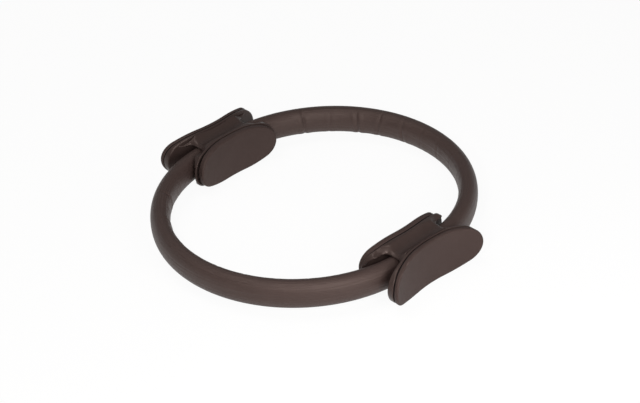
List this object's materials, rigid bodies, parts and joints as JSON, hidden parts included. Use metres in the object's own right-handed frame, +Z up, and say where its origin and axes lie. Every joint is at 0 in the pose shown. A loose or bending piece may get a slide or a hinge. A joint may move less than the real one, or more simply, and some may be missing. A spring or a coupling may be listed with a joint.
{
  "type": "pilates ring",
  "caption": "Foam-covered sprung ring with padded handles on opposite sides, squeezed or pressed apart for pilates and resistance exercise.",
  "frame": {"origin": "on the floor under the centre of the ring, which lies flat", "axes": "+X from the ring's centre to the right handle, +Z up"},
  "size_m": [0.383, 0.38, 0.055],
  "materials": {
    "sleeve_foam": "matte closed-cell foam with a fine lengthwise grain",
    "pad_foam": "matte moulded foam",
    "handle_plastic": "satin moulded plastic",
    "knuckle_plastic": "glass-filled nylon",
    "leaf_fibreglass": "pultruded fibreglass",
    "steel": "zinc-plated steel"
  },
  "bodies": {
    "left_handle": {"left_handle_body": "handle_plastic", "left_cover": "handle_plastic", "left_inner_pad": "pad_foam", "left_outer_pad": "pad_foam", "left_screws": "steel", "left_pins": "steel"},
    "right_handle": {"right_handle_body": "handle_plastic", "right_cover": "handle_plastic", "right_inner_pad": "pad_foam", "right_outer_pad": "pad_foam", "right_screws": "steel", "right_pins": "steel"},
    "front_left_quarter": {"front_left_sleeve": "sleeve_foam", "front_left_outer_leaf": "leaf_fibreglass", "front_left_inner_leaf": "leaf_fibreglass", "front_left_knuckle": "knuckle_plastic", "front_left_rivet": "steel"},
    "front_right_quarter": {"front_right_sleeve": "sleeve_foam", "front_right_outer_leaf": "leaf_fibreglass", "front_right_inner_leaf": "leaf_fibreglass", "front_right_knuckle": "knuckle_plastic", "front_right_rivet": "steel"},
    "rear_left_quarter": {"rear_left_sleeve": "sleeve_foam", "rear_left_outer_leaf": "leaf_fibreglass", "rear_left_inner_leaf": "leaf_fibreglass", "rear_left_knuckle": "knuckle_plastic", "rear_left_rivet": "steel"},
    "rear_right_quarter": {"rear_right_sleeve": "sleeve_foam", "rear_right_outer_leaf": "leaf_fibreglass", "rear_right_inner_leaf": "leaf_fibreglass", "rear_right_knuckle": "knuckle_plastic", "rear_right_rivet": "steel"}
  },
  "joints": [
    {"name": "front_left_pivot", "type": "hinge", "parent": "left_handle", "child": "front_left_quarter", "pos_m": [-0.158, -0.021, 0.0275], "axis": [0, 0, 1], "range_deg": [-10, 5]},
    {"name": "squeeze", "type": "hinge", "parent": "front_left_quarter", "child": "front_right_quarter", "pos_m": [0, -0.179, 0.0275], "axis": [0, 0, 1], "range_deg": [-10, 20], "stiffness_Nm_per_rad": 35, "deforming": ["front_left_sleeve", "front_right_sleeve"]},
    {"name": "front_right_pivot", "type": "hinge", "parent": "front_right_quarter", "child": "right_handle", "pos_m": [0.158, -0.021, 0.0275], "axis": [0, 0, 1], "range_deg": [-10, 5]},
    {"name": "rear_left_pivot", "type": "hinge", "parent": "left_handle", "child": "rear_left_quarter", "pos_m": [-0.158, 0.021, 0.0275], "axis": [0, 0, 1], "range_deg": [-5, 10]},
    {"name": "rear_crown", "type": "hinge", "parent": "rear_left_quarter", "child": "rear_right_quarter", "pos_m": [0, 0.179, 0.0275], "axis": [0, 0, 1], "range_deg": [-20, 10], "deforming": ["rear_left_sleeve", "rear_right_sleeve"]}
  ],
  "couplings": [
    {"joint": "front_left_pivot", "follows": "squeeze", "ratio": -0.5},
    {"joint": "front_right_pivot", "follows": "squeeze", "ratio": -0.5},
    {"joint": "rear_left_pivot", "follows": "squeeze", "ratio": 0.5},
    {"joint": "rear_crown", "follows": "squeeze", "ratio": -1}
  ]
}
